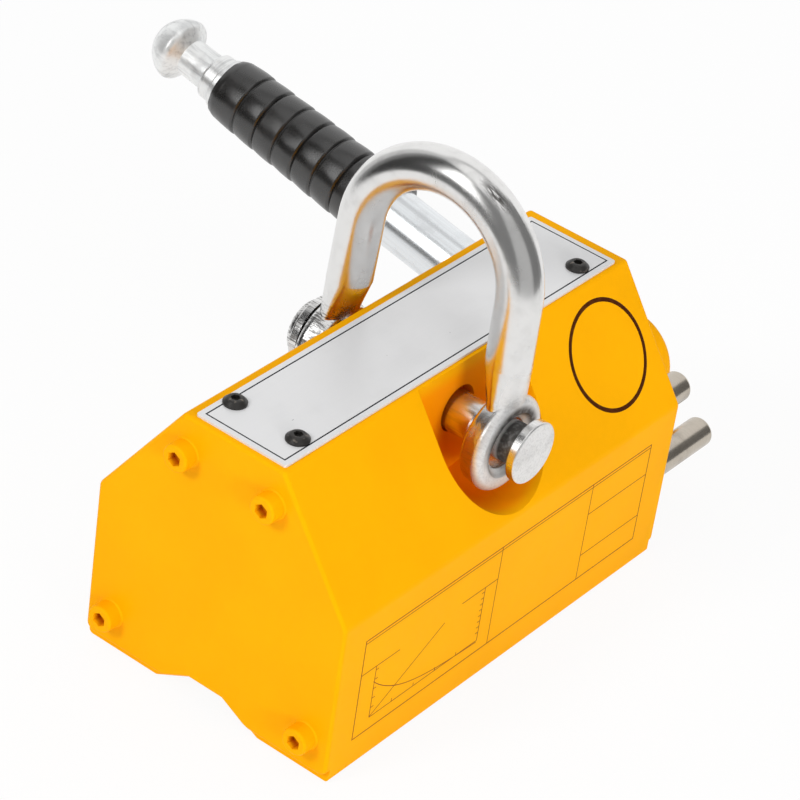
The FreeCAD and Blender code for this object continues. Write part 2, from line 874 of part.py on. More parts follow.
def build():
    """Every piece of the lifter by its node name."""
    return {
        "pole_front": pole_half(-1),
        "pole_rear": pole_half(1),
        "keel_bar": keel_bar(),
        "saddle_bar": saddle_bar(),
        "crown_bar": crown_bar(),
        "fixed_magnets": fixed_magnets(),
        "cover_near": cover(NEAR_END, []),
        "cover_far": far_cover(),
        "cover_screws_near": cover_screws(NEAR_END),
        "cover_screws_far": cover_screws(FAR_END),
        "name_plate": name_plate(),
        "name_plate_screws": name_plate_screws(),
        "bush_near": bush(NEAR_END),
        "bush_far": bush(FAR_END),
        "stop_pins": end_pins(stop_pin_spot(), stop_pin_radius, stop_pin_reach),
        "safety_pins": end_pins(safety_pin_spot(), safety_pin_radius, safety_pin_reach),
        "rotor_pole_front": rotor_pole(-1),
        "rotor_pole_rear": rotor_pole(1),
        "rotor_magnets": rotor_magnets(),
        "rotor_flange_near": rotor_flange_near(),
        "rotor_shaft": rotor_shaft(),
        "rotor_screws": Part.makeCompound(rotor_screw_holes()),
        "hub": hub(),
        "handle_tube": handle_tube(),
        "grip": grip(),
        "collar": collar(),
        "push_button": push_button(),
        "lock_key": lock_key(),
        "return_spring": return_spring(),
        "shackle": shackle(),
        "shackle_pin": shackle_pin(),
        "pin_disc": pin_disc(),
    }


os.makedirs("parts", exist_ok=True)
for name, shape in build().items():
    shape.exportStep("parts/" + name + ".step")
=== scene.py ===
"""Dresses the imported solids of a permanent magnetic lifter.

The solids are the fixed frame. Each of them gets its finish here, and the scene adds what the
solids leave out: the moulded rubber grip, the paint that bridges the cover screws, and the plain
printed lines on the housing and the plate. Sizes are in metres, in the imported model's frame.
"""

import logging
import math
from dataclasses import dataclass
from enum import Enum
from functools import reduce
from typing import Mapping, Sequence

import bpy
import numpy as np
from mathutils import Matrix, Vector


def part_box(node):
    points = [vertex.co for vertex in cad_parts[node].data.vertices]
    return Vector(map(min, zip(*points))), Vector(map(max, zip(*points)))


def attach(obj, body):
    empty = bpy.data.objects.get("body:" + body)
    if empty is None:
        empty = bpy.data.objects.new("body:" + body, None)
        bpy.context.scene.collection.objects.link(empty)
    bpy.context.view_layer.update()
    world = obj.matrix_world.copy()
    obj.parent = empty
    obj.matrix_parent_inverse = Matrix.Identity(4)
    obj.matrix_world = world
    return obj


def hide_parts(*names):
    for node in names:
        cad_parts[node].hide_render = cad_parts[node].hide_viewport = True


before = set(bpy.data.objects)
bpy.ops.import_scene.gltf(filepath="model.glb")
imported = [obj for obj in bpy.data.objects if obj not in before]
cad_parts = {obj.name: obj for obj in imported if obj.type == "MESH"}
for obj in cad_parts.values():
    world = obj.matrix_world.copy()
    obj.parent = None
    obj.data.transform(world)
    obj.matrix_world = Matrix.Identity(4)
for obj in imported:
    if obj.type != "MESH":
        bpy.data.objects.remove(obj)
log = logging.getLogger("lifter")

Colour = tuple[float, float, float]
Triple = tuple[float, float, float]
Span = tuple[float, float]
Run = Sequence[Span] | np.ndarray

MM = 0.001
SHARP_EDGE = math.radians(38.0)
HANDLE_ANGLE = math.radians(11.67)
ALONG_HANDLE: Triple = (HANDLE_ANGLE, 0.0, 0.0)
WHITE: Colour = (1.0, 1.0, 1.0)


class Body(Enum):
    """The moving bodies that new pieces ride on."""

    HOUSING = "body"
    LEVER = "handle"


class Slot(Enum):
    """The material slots named for new pieces; fit takes one but does not read it."""

    PAINT = "paint"
    PLATE = "plate"
    GRIP = "grip"


class End(Enum):
    """The housing's two ends, by the direction that their cover faces along X."""

    NEAR = -1
    FAR = 1


class Wire:
    """A number on its way through a shader: a socket whose operators add Math nodes."""

    def __init__(self, graph: "Graph", socket: bpy.types.NodeSocket) -> None:
        """Keeps the socket and the graph that it is in."""
        self.graph = graph
        self.socket = socket

    def math(self, kind: str, *operands: "Operand") -> "Wire":
        """The result of one Math node of that kind, which takes the operands in order."""
        made = self.graph.node("ShaderNodeMath", {"operation": kind}, dict(enumerate(operands)))
        return Wire(self.graph, made.outputs[0])

    def __add__(self, other: "Operand") -> "Wire":
        """Self plus other."""
        return self.math("ADD", self, other)

    def __radd__(self, other: "Operand") -> "Wire":
        """Other plus self."""
        return self.math("ADD", other, self)

    def __sub__(self, other: "Operand") -> "Wire":
        """Self less other."""
        return self.math("SUBTRACT", self, other)

    def __rsub__(self, other: "Operand") -> "Wire":
        """Other less self."""
        return self.math("SUBTRACT", other, self)

    def __mul__(self, other: "Operand") -> "Wire":
        """Self times other."""
        return self.math("MULTIPLY", self, other)

    def __rmul__(self, other: "Operand") -> "Wire":
        """Other times self."""
        return self.math("MULTIPLY", other, self)

    def __abs__(self) -> "Wire":
        """Self without its sign."""
        return self.math("ABSOLUTE", self)

    def root(self) -> "Wire":
        """The square root of self."""
        return self.math("SQRT", self)

    def most(self, other: "Operand") -> "Wire":
        """The larger of self and other."""
        return self.math("MAXIMUM", self, other)

    def rise(self, low: float, high: float) -> "Wire":
        """A smooth step of self.

        Args:
            low: The value at which the step is 0.
            high: The value at which the step is 1; it may lie below low.

        Returns:
            A wire from 0 to 1.
        """
        values = {"Value": self, "From Min": low, "From Max": high}
        made = self.graph.node("ShaderNodeMapRange", {"interpolation_type": "SMOOTHSTEP"}, values)
        return Wire(self.graph, made.outputs["Result"])


Operand = Wire | float | int
Input = Wire | bpy.types.NodeSocket | float | int | Sequence[float]


@dataclass(frozen=True)
class Grain:
    """A noise pattern: cells per metre, octaves, the values stretched to 0 to 1, and its turn."""

    scale: float | Triple
    octaves: float = 3.0
    span: Span | None = None
    turn: Triple = (0.0, 0.0, 0.0)

    def cell(self) -> Triple:
        """The size of one cell along the three axes, in metres."""
        scale = self.scale if isinstance(self.scale, tuple) else (self.scale,) * 3
        return tuple(1.0 / cells for cells in scale)


class Graph:
    """A node tree and the ways in which the finishes add to it."""

    def __init__(self, tree: bpy.types.NodeTree) -> None:
        """Takes an empty or a default tree and clears it."""
        self.tree = tree
        self.tree.nodes.clear()

    def node(
        self,
        kind: str,
        settings: Mapping[str, object] | None = None,
        inputs: Mapping[str | int, Input] | None = None,
    ) -> bpy.types.Node:
        """Adds any node.

        Args:
            kind: The node's type.
            settings: Its properties, set before its sockets.
            inputs: What each socket gets: a number, a colour, a wire or another node's socket.

        Returns:
            The node.
        """
        made = self.tree.nodes.new(kind)
        for key, value in (settings or {}).items():
            setattr(made, key, value)
        for key, value in (inputs or {}).items():
            socket = made.inputs[key]
            if isinstance(value, Wire):
                self.tree.links.new(value.socket, socket)
            elif isinstance(value, bpy.types.NodeSocket):
                self.tree.links.new(value, socket)
            elif socket.type == "RGBA":
                socket.default_value = (*value, 1.0)
            else:
                socket.default_value = value
        return made

    def show(self, shader: bpy.types.Node, output: str = "ShaderNodeOutputMaterial") -> None:
        """Makes the shader what the tree gives out."""
        self.node(output, None, {"Surface": shader.outputs[0]})

    def glow(self, strength: float) -> bpy.types.Node:
        """A white emission shader."""
        return self.node("ShaderNodeEmission", None, {"Color": WHITE, "Strength": strength})

    def rays(self, *kinds: str) -> tuple[Wire, ...]:
        """For each kind of ray, 1 where such a ray sees the surface and 0 elsewhere."""
        path = self.node("ShaderNodeLightPath")
        return tuple(Wire(self, path.outputs[f"Is {kind} Ray"]) for kind in kinds)

    def place(self) -> bpy.types.NodeSocket:
        """The point of the piece in the model's frame, in metres."""
        return self.node("ShaderNodeTexCoord").outputs["Object"]

    def axes(self) -> tuple[Wire, Wire, Wire]:
        """The point's three coordinates in the model's frame."""
        split = self.node("ShaderNodeSeparateXYZ", None, {0: self.place()})
        return tuple(Wire(self, split.outputs[i]) for i in range(3))

    def reach(self, first: Wire, second: Wire, centre: Span) -> Wire:
        """The distance from an axis: the root of the two squared offsets from its centre."""
        across, up = first - centre[0], second - centre[1]
        return (across * across + up * up).root()

    def noise(self, grain: Grain) -> Wire:
        """A grain's noise at the point.

        Args:
            grain: The pattern.

        Returns:
            The noise, mostly from 0.3 to 0.7, or from 0 to 1 where the grain has a span.
        """
        cells = {"Vector": self.place(), "Rotation": grain.turn, "Scale": grain.cell()}
        mapped = self.node("ShaderNodeMapping", {"vector_type": "TEXTURE"}, cells)
        values = {"Vector": mapped.outputs[0], "Scale": 1.0, "Detail": grain.octaves}
        made = self.node("ShaderNodeTexNoise", None, values)
        value = Wire(self, made.outputs[0])
        return value if grain.span is None else value.rise(*grain.span)

    def blend(self, share: Wire, first: Input, second: Input) -> bpy.types.NodeSocket:
        """The colour that goes from first to second as share goes from 0 to 1."""
        made = self.node("ShaderNodeMix", {"data_type": "RGBA"}, {0: share, 6: first, 7: second})
        return made.outputs[2]

    def bump(self, height: Wire, depth: float, strength: float) -> bpy.types.NodeSocket:
        """The normal of a surface with a share of that height, in which 1 stands for the depth."""
        values = {"Height": height, "Distance": depth, "Strength": strength}
        return self.node("ShaderNodeBump", None, values).outputs["Normal"]


def blank_material(name: str) -> tuple[bpy.types.Material, Graph]:
    """A new material and its empty graph.

    Args:
        name: The material's name.

    Returns:
        The material and its graph.
    """
    made = bpy.data.materials.new(name)
    made.use_nodes = True
    return made, Graph(made.node_tree)


def shade(colour: Colour, share: float) -> Colour:
    """The colour with its light scaled by share."""
    return tuple(min(1.0, c * share) for c in colour)


@dataclass(frozen=True)
class Finish:
    """A surface finish: one material under one name."""

    name: str

    def material(self) -> bpy.types.Material:
        """The finish's material, made once.

        Returns:
            The material.
        """
        found = bpy.data.materials.get(self.name)
        if found is not None:
            return found
        made, graph = blank_material(self.name)
        graph.show(graph.node("ShaderNodeBsdfPrincipled", None, self.recipe(graph)))
        return made

    def recipe(self, graph: Graph) -> dict[str, Input]:
        """What each of the shader's sockets gets."""
        raise NotImplementedError


@dataclass(frozen=True)
class PaintFinish(Finish):
    """Thick sprayed enamel: even colour, deeper where it lies thick, a fine orange peel, and
    painted shade in the shackle pockets.
    """

    colour: Colour = (0.94, 0.418, 0.0008)
    spread: Span = (0.972, 1.03)
    # painted shade: the darker orange laid into the shackle pockets' recesses
    pocket_shade_colour: Colour = (0.99, 0.31, 0.0005)
    roughness: float = 0.42
    gloss: float = 1.1
    runs: Grain = Grain(26, 2, (0.36, 0.66))
    mottle: Grain = Grain(340, 2, (0.3, 0.7))
    sheen: Grain = Grain(150, 2)
    peel: Grain = Grain(520, 1)
    waves: Grain = Grain(70, 1)
    slope_foot: Span = (46.3 * MM, 56.5 * MM)
    slope_normal: Span = (0.8173, 0.5762)
    pocket_depth: Span = (0.1 * MM, 4.0 * MM)
    pocket_side: Span = (22.6 * MM, 22.4 * MM)
    pocket_foot: Span = (56.7 * MM, 57.1 * MM)
    pocket_top: Span = (95.95 * MM, 95.7 * MM)

    def pocket(self, graph: Graph) -> Wire:
        """The share of painted shade in a shackle pocket, by the depth under the housing's sloping
        side.

        Args:
            graph: The node graph.

        Returns:
            A wire from 0 to 1 for the painted shade, which is 0 outside the pocket's width and
            height.
        """
        x, y, z = graph.axes()
        (foot_y, foot_z), (out, up) = self.slope_foot, self.slope_normal
        depth = (foot_y - abs(y)) * out + (foot_z - z) * up
        within = abs(x).rise(*self.pocket_side)
        between = z.rise(*self.pocket_foot) * z.rise(*self.pocket_top)
        return depth.rise(*self.pocket_depth) * within * between

    def coat(self, graph: Graph) -> bpy.types.NodeSocket:
        """The coat's colour, a little deeper where it lies thick, and darker in the pockets as
        painted shade.

        Args:
            graph: The node graph.

        Returns:
            The colour's socket.
        """
        thin, thick = (shade(self.colour, share) for share in self.spread)
        share = 0.75 * graph.noise(self.runs) + 0.25 * graph.noise(self.mottle)
        # painted shade: the pockets' recesses blend towards a darker orange by their depth
        return graph.blend(self.pocket(graph), graph.blend(share, thin, thick), self.pocket_shade_colour)

    def recipe(self, graph: Graph) -> dict[str, Input]:
        """Colour, satin gloss and orange peel.

        Args:
            graph: The node graph.

        Returns:
            The shader's inputs.
        """
        height = 0.6 * graph.noise(self.peel) + 0.4 * graph.noise(self.waves)
        return {
            "Base Color": self.coat(graph),
            "Roughness": self.roughness + graph.noise(self.sheen) * 0.10 - 0.05,
            "Normal": graph.bump(height, depth=0.22 * MM, strength=0.10),
            "IOR": self.gloss,
        }


@dataclass(frozen=True)
class ScrewPaint(PaintFinish):
    """The same enamel on cap screws, thin in the sockets, with a dark brown painted shade laid
    there.
    """

    axes: tuple[Span, ...] = ()
    tip: float = 0.0
    socket_edge: Span = (2.62 * MM, 2.50 * MM)
    socket_depth: Span = (0.2 * MM, 2.6 * MM)
    # painted shade: the dark brown laid into the hex sockets' recesses
    socket_shade: Colour = (0.56, 0.135, 0.002)
    socket_shade_share: float = 0.85

    def coat(self, graph: Graph) -> bpy.types.NodeSocket:
        """The coat's colour, with a painted shade near any screw's axis and below the tips of the
        heads.

        Args:
            graph: The node graph.

        Returns:
            The colour's socket.
        """
        x, y, z = graph.axes()
        holes = [graph.reach(y, z, axis).rise(*self.socket_edge) for axis in self.axes]
        depth = (self.tip - abs(x)).rise(*self.socket_depth)
        # painted shade: the socket recesses darken with depth below the heads' tips
        share = reduce(Wire.most, holes) * depth * self.socket_shade_share
        return graph.blend(share, super().coat(graph), self.socket_shade)


@dataclass(frozen=True)
class PlatedFinish(Finish):
    """Bright zinc plate over steel, clouded in places and drawn along one direction."""

    colour: Colour = (0.80, 0.795, 0.785)
    dull: Colour = (0.42, 0.41, 0.40)
    # colour of dark marks: pits and flaws, and on the forging also the painted shade behind the
    # disc
    marks_and_shade: Colour = (0.055, 0.050, 0.045)
    metal: float = 1.0
    roughness: float = 0.22
    draw: Grain = Grain(260)
    draw_dull: Span = (0.45, 0.75)
    ripple: Grain = Grain(160, 2)
    ripple_depth: float = 0.2 * MM
    ripple_shown: float = 0.22
    clouds: Grain = Grain(120, 4, (0.50, 0.74))
    clouded: float = 0.12
    pits: Grain = Grain(1500, 2, (0.66, 0.78))

    def flaws(self, graph: Graph) -> tuple[Wire, Wire]:
        """The share of dark marks and the height under the plate: here only fine pits."""
        pit = graph.noise(self.pits)
        return pit * 0.10, pit * -0.02

    def blasted(self, graph: Graph) -> Operand:
        """The share of the plate that is matt from blasting: here none."""
        return 0.0

    def recipe(self, graph: Graph) -> dict[str, Input]:
        """Clouded colour and gloss over a slow ripple, fine draw marks, and the finish's flaws and
        any painted shade.

        Args:
            graph: The node graph.

        Returns:
            The shader's inputs.
        """
        cloud, grain = graph.noise(self.clouds), graph.noise(self.draw)
        dark, rough = self.flaws(graph)
        matt = self.blasted(graph)
        dulled = (cloud + grain.rise(*self.draw_dull)) * self.clouded
        worn = grain * 0.10 - 0.05 + cloud * 0.07 + dark * 0.15 + matt * 0.20
        height = graph.noise(self.ripple) * 0.8 + grain * 0.06 + rough
        tint = graph.blend(dulled, self.colour, self.dull)
        return {
            # dark holds pits and flaws, and on the forging also the painted shade behind the disc
            "Base Color": graph.blend(dark, tint, self.marks_and_shade),
            "Metallic": self.metal - matt * 0.42,
            "Roughness": self.roughness + worn,
            "Normal": graph.bump(height, self.ripple_depth, self.ripple_shown),
        }


@dataclass(frozen=True)
class ForgedFinish(PlatedFinish):
    """Bright plate over a forging, with each mark's span in metres from none to full.

    The legs' roots are wrinkled, the eyes filed, the front eye's face and the disc's matt, one
    shoulder is torn, and painted shade darkens the gap behind the disc.
    """

    ripple: Grain = Grain(85, 2)
    ripple_depth: float = 0.35 * MM
    pivot: Span = (0.0, 78.0 * MM)
    eye: Span = (19.0 * MM, 14.5 * MM)
    root_start: Span = (10.0 * MM, 13.5 * MM)
    root_end: Span = (26.0 * MM, 17.0 * MM)
    wrinkles: Grain = Grain(430)
    sand: Grain = Grain(1900, 2)
    filing: Grain = Grain((1700, 120, 1700), 3, (0.45, 0.66))
    filed_side: Span = (-5.0 * MM, 5.0 * MM)
    gap_front: Span = (-44.4 * MM, -43.8 * MM)
    gap_back: Span = (-37.4 * MM, -38.6 * MM)
    gap_shade_reach: Span = (12.6 * MM, 10.0 * MM)
    gap_shade_noise: Grain = Grain(600, 3, (0.2, 0.6))
    matt_reach: Span = (27.0 * MM, 15.0 * MM)
    matt_back: Span = (-35.2 * MM, -37.6 * MM)
    matt_front: Span = (-43.0 * MM, -40.0 * MM)
    disc_face: Span = (-46.1 * MM, -46.6 * MM)
    shoulder: Triple = (0.5 * MM, -19.5 * MM, 152.3 * MM)
    lap: Span = (-0.87, -0.49)
    tear: Span = (2.7 * MM, 0.4 * MM)
    streaks: Grain = Grain(
        (2300, 330, 2300), 4, (0.34, 0.54), (math.atan2(lap[1], lap[0]), 0.0, 0.0)
    )

    def blasted(self, graph: Graph) -> Operand:
        """The matt share: the front eye's face, fading along the leg's root, and half the disc's.

        Args:
            graph: The node graph.

        Returns:
            A wire from 0 to 1.
        """
        x, y, z = graph.axes()
        face = y.rise(*self.matt_back) * y.rise(*self.matt_front)
        near = graph.reach(x, z, self.pivot).rise(*self.matt_reach)
        return (face * near).most(y.rise(*self.disc_face) * 0.5)

    def torn(self, graph: Graph) -> Wire:
        """How near a point lies to the torn lap, a slim ellipsoid along a line over the shoulder.

        The distance is the root of the squared distance from the shoulder, less nine tenths of the
        square of its part along the line.

        Args:
            graph: The node graph.

        Returns:
            A wire from 0 to 1.
        """
        aside, back, up = (axis - at for axis, at in zip(graph.axes(), self.shoulder))
        along = back * self.lap[0] + up * self.lap[1]
        square = aside * aside + back * back + up * up - along * along * 0.9
        return square.most(0.0).root().rise(*self.tear)

    def flaws(self, graph: Graph) -> tuple[Wire, Wire]:
        """A sandy, pitted skin, the torn lap, marks by the distance from the pivot, and painted
        shade behind the disc.

        Args:
            graph: The node graph.

        Returns:
            The share of dark marks and painted shade, and the height of the roughness under the
            plate.
        """
        x, y, z = graph.axes()
        reach = graph.reach(x, z, self.pivot)
        pit = graph.noise(self.pits)
        filed_share = y.rise(*self.filed_side) * 0.6 + 0.15
        filed = graph.noise(self.filing) * reach.rise(*self.eye) * filed_share
        # painted shade: the gap between the eye's face and the disc is darkened
        behind = y.rise(*self.gap_front) * y.rise(*self.gap_back)
        gap_shade = behind * reach.rise(*self.gap_shade_reach) * (graph.noise(self.gap_shade_noise) * 0.3 + 0.65)
        streaked = graph.noise(self.streaks) * self.torn(graph) * 0.95
        dark = (pit * 0.12).most(filed).most(gap_shade).most(streaked)
        root = reach.rise(*self.root_start) * reach.rise(*self.root_end)
        rough = graph.noise(self.wrinkles) * root * 1.6 + graph.noise(self.sand) * 0.10
        return dark, rough - pit * 0.02 - filed * 0.08


@dataclass(frozen=True)
class SkinFinish(Finish):
    """A skin with a fine grain, patches of a second colour and, where given, flecks of a third.

    The values here are those of bare metal off the lathe, with tool lines and a slight tarnish.
    Pairs of shares are the patches' and the grain's; the relief is its depth and its strength.
    """

    colour: Colour = (0.57, 0.515, 0.44)
    patched: Colour = (0.30, 0.262, 0.215)
    grain: Grain = Grain((2600, 70, 70), 2)
    patches: Grain = Grain(95, 4, (0.44, 0.70))
    tinted: Span = (0.65, 0.25)
    roughness: float = 0.13
    dulled: Span = (0.06, 0.16)
    relief: Span = (0.05 * MM, 0.15)
    constants: tuple[tuple[str, float], ...] = (("Metallic", 1.0),)
    flecks: Grain | None = None
    flecked: float = 0.0
    fleck: Colour = (0.0, 0.0, 0.0)

    def recipe(self, graph: Graph) -> dict[str, Input]:
        """Patches and grain in colour and gloss, the grain in height, and the plain constants.

        Args:
            graph: The node graph.

        Returns:
            The shader's inputs.
        """
        patch, grain = graph.noise(self.patches), graph.noise(self.grain)
        share = patch * self.tinted[0] + grain * self.tinted[1]
        tint = graph.blend(share, self.colour, self.patched)
        if self.flecks is not None:
            tint = graph.blend(graph.noise(self.flecks) * self.flecked, tint, self.fleck)
        return {
            "Base Color": tint,
            "Roughness": self.roughness + patch * self.dulled[0] + grain * self.dulled[1],
            "Normal": graph.bump(grain, *self.relief),
            **dict(self.constants),
        }


@dataclass(frozen=True)
class OxideFinish(Finish):
    """Oiled black oxide on small screws, worn to brownish steel in specks."""

    colour: Colour = (0.030, 0.028, 0.026)
    worn: Colour = (0.23, 0.20, 0.17)
    metal: float = 0.35
    roughness: float = 0.30
    wear: Grain = Grain(620, 4, (0.56, 0.70))
    skin: Grain = Grain(900, 2)

    def recipe(self, graph: Graph) -> dict[str, Input]:
        """Black skin with worn specks that are metal.

        Args:
            graph: The node graph.

        Returns:
            The shader's inputs.
        """
        wear = graph.noise(self.wear)
        return {
            "Base Color": graph.blend(wear * 0.8, self.colour, self.worn),
            "Metallic": self.metal + wear * 0.6,
            "Roughness": self.roughness + graph.noise(self.skin) * 0.18,
            "Normal": graph.bump(wear, depth=0.05 * MM, strength=0.2),
        }


@dataclass(frozen=True)
class InkFinish(Finish):
    """Screen-printed ink, uneven in density along its lines."""

    colour: Colour = (0.060, 0.013, 0.0008)
    thin: Colour = (0.12, 0.030, 0.001)
    roughness: float = 0.42
    gloss: float = 1.16
    gaps: Grain = Grain(380, 3, (0.46, 0.72))

    def recipe(self, graph: Graph) -> dict[str, Input]:
        """Dense ink that thins in patches.

        Args:
            graph: The node graph.

        Returns:
            The shader's inputs.
        """
        gap = graph.noise(self.gaps)
        return {
            "Base Color": graph.blend(gap * 0.6, self.colour, self.thin),
            "Roughness": self.roughness + gap * 0.12,
            "IOR": self.gloss,
        }


YELLOW = PaintFinish("yellow_enamel")
FORGED = ForgedFinish("plated_forging")
DRAWN = PlatedFinish(
    "plated_tube", colour=(0.815, 0.842, 0.862), dull=(0.56, 0.565, 0.57), roughness=0.25,
    draw=Grain((900, 22, 900), turn=ALONG_HANDLE), ripple=Grain(45, 2), clouded=0.26,
)
TURNED_PLATE = PlatedFinish(
    "plated_collar", colour=(0.84, 0.845, 0.84), dull=(0.34, 0.345, 0.35), metal=0.82,
    roughness=0.30, draw=Grain((90, 1100, 90), turn=ALONG_HANDLE), clouded=0.44,
)
KNOB_PLATE = PlatedFinish(
    "plated_knob", colour=(0.88, 0.89, 0.885), dull=(0.46, 0.465, 0.47), metal=0.60,
    roughness=0.34, draw=Grain((700, 130, 700), turn=ALONG_HANDLE), clouded=0.50,
)
PIN_STEEL = SkinFinish("turned_steel")
NICKEL = SkinFinish(
    "nickel_skin", colour=(0.56, 0.545, 0.51), patched=(0.42, 0.40, 0.37), roughness=0.18,
    grain=Grain((40, 40, 900), 2),
)
BRASS = SkinFinish(
    "drawn_brass", colour=(0.66, 0.45, 0.16), patched=(0.42, 0.27, 0.09), roughness=0.26,
    grain=Grain((30, 1800, 1800), 2),
)
BRONZE = SkinFinish(
    "turned_bronze", colour=(0.56, 0.34, 0.15), patched=(0.34, 0.19, 0.08), roughness=0.28
)
# Pale anodised sheet: a faint rolled grain along X, slight scuffs and sparse flecks
SHEET_TONE: Colour = (0.735, 0.735, 0.74)
SHEET = SkinFinish(
    "plate_sheet", colour=shade(SHEET_TONE, 1.03), patched=shade(SHEET_TONE, 0.92),
    grain=Grain((35, 2400, 2400)), patches=Grain(60, 4, (0.5, 0.75)), tinted=(0.35, 0.25),
    roughness=0.26, dulled=(0.08, 0.12), relief=(0.04 * MM, 0.12), constants=(("Metallic", 0.12),),
    flecks=Grain(520, 0, (0.868, 0.880)), flecked=0.55, fleck=(0.16, 0.16, 0.17),
)
# Moulded black rubber: a soft sheen over a fine mould grain, rubbed in patches, a little dusty
RUBBER_TONE: Colour = (0.0085, 0.0080, 0.0075)
RUBBER = SkinFinish(
    "grip_rubber", colour=RUBBER_TONE, patched=shade(RUBBER_TONE, 1.5),
    grain=Grain(2100, 2), patches=Grain(75, 3, (0.38, 0.68)), tinted=(1.0, 0.0),
    roughness=0.21, dulled=(0.07, 0.08), relief=(0.08 * MM, 0.18), constants=(("IOR", 1.75),),
    flecks=Grain(900, 2, (0.60, 0.80)), flecked=0.06, fleck=(0.13, 0.125, 0.12),
)
OXIDE = OxideFinish("black_oxide")
RING_INK = InkFinish("ring_ink")
CHART_INK = InkFinish("chart_ink", colour=(0.17, 0.028, 0.004), thin=(0.30, 0.062, 0.006))
GREY_INK = InkFinish("grey_ink", colour=(0.012, 0.014, 0.017), thin=(0.05, 0.054, 0.06))


@dataclass
class Surface:
    """The points and four-sided faces of a piece, as whole arrays."""

    points: np.ndarray
    quads: np.ndarray

    @classmethod
    def grid(cls, points: np.ndarray, wrap_u: bool, wrap_v: bool) -> "Surface":
        """The faces between the points of a grid.

        Args:
            points: Points by row, column and axis.
            wrap_u: Whether the last row joins the first.
            wrap_v: Whether the last column joins the first.

        Returns:
            The surface.
        """
        index = np.arange(points.shape[0] * points.shape[1]).reshape(points.shape[:2])
        down = np.roll(index, -1, axis=0)
        right = np.roll(index, -1, axis=1)
        across = np.roll(down, -1, axis=1)
        quads = np.stack([index, down, across, right], axis=-1)
        quads = quads[: None if wrap_u else -1, : None if wrap_v else -1]
        return cls(points.reshape(-1, 3), quads.reshape(-1, 4))

    @classmethod
    def joined(cls, parts: Sequence["Surface"]) -> "Surface":
        """Several surfaces as one.

        Args:
            parts: The surfaces.

        Returns:
            One surface with all their points and faces.
        """
        starts = np.cumsum([0] + [len(part.points) for part in parts[:-1]])
        points = np.concatenate([part.points for part in parts])
        quads = np.concatenate([part.quads + start for part, start in zip(parts, starts)])
        return cls(points, quads)

    def outward(self) -> "Surface":
        """The same closed surface with its faces turned outwards.

        The volume that it bounds, the sum of its triangles' triple products, is then positive.

        Returns:
            The surface.
        """
        a, b, c, d = np.moveaxis(self.points[self.quads], 1, 0)
        volume = np.sum(a * np.cross(b, c)) + np.sum(a * np.cross(c, d))
        return self if volume > 0 else Surface(self.points, self.quads[:, ::-1])

    def piece(self, name: str, smooth: bool = True) -> bpy.types.Object:
        """Puts the surface into the scene as a mesh at the origin.

        Args:
            name: The piece's name.
            smooth: Whether its faces are shaded smooth.

        Returns:
            The object.
        """
        mesh = bpy.data.meshes.new(name)
        mesh.from_pydata(self.points.tolist(), [], self.quads.tolist())
        mesh.polygons.foreach_set("use_smooth", np.full(len(mesh.polygons), smooth))
        mesh.set_sharp_from_angle(angle=SHARP_EDGE)
        mesh.update()
        made = bpy.data.objects.new(name, mesh)
        bpy.context.scene.collection.objects.link(made)
        return made


def circle(sides: int) -> np.ndarray:
    """The angles of that many even steps in one turn."""
    return np.linspace(0.0, 2.0 * math.pi, sides, endpoint=False)


def ribbon(path: np.ndarray, normal: Triple, width: float, height: float, closed: bool) -> Surface:
    """A flat printed line: a four-cornered profile carried along a path that lies on a plane.

    At each point the profile stands across the path, on the bisector of its two runs, and is
    widened by one over the cosine of half the turn, so that corners are mitred. Its foot is on the
    plane and its top is a tenth narrower.

    Args:
        path: Points on the plane, by row.
        normal: The plane's outward direction.
        width: The line's width.
        height: The ink's height.
        closed: Whether the path returns to its first point.

    Returns:
        The closed surface of the line.
    """
    up = np.asarray(normal, float)
    ahead = np.roll(path, -1, axis=0) - path
    ahead /= np.linalg.norm(ahead, axis=1, keepdims=True)
    behind = np.roll(ahead, 1, axis=0)
    if not closed:
        ahead[-1], behind[0] = behind[-1], ahead[0]
    along = ahead + behind
    along /= np.linalg.norm(along, axis=1, keepdims=True)
    spread = 1.0 / np.einsum("ij,ij->i", along, ahead)
    side = np.cross(up, along) * spread[:, None]
    across = np.array([-0.5, -0.45, 0.45, 0.5]) * width
    lift = np.array([0.0, 1.0, 1.0, 0.0]) * height
    profile = side[:, None, :] * across[None, :, None] + up * lift[None, :, None]
    body = Surface.grid(path[:, None, :] + profile, closed, True)
    if not closed:
        last = len(body.points) - 4
        ends = np.array([[0, 1, 2, 3], [last + 3, last + 2, last + 1, last]])
        body = Surface(body.points, np.concatenate([body.quads, ends]))
    return body.outward()


def revolved(profile: np.ndarray, origin: Triple, axis: Triple, swell: np.ndarray) -> Surface:
    """A ring of revolution: a closed profile of radius and distance, carried round an axis.

    A point is the origin, plus its distance along the axis, plus its radius and swell times the
    unit circle across the axis.

    Args:
        profile: Radius and distance along the axis, by row.
        origin: The point from which the distance is counted.
        axis: The axis direction.
        swell: What is added to the radius, by row of the profile and step of the turn.

    Returns:
        The closed surface.
    """
    along = Vector(axis).normalized()
    first = along.orthogonal().normalized()
    second = along.cross(first)
    turn = circle(swell.shape[1])[:, None]
    round_axis = np.cos(turn) * np.array(first) + np.sin(turn) * np.array(second)
    radius = profile[:, :1] + swell
    middle = np.array(origin) + profile[:, 1, None, None] * np.array(along)
    points = middle + radius[:, :, None] * round_axis[None, :, :]
    return Surface.grid(points, True, True).outward()


def dress(finish: Finish, *nodes: str) -> None:
    """Gives CAD nodes their finish.

    Args:
        finish: The finish.
        nodes: The nodes' names.
    """
    for name in nodes:
        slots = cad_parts[name].data.materials
        slots.clear()
        slots.append(finish.material())
        log.info("node %s: %s", name, finish.name)


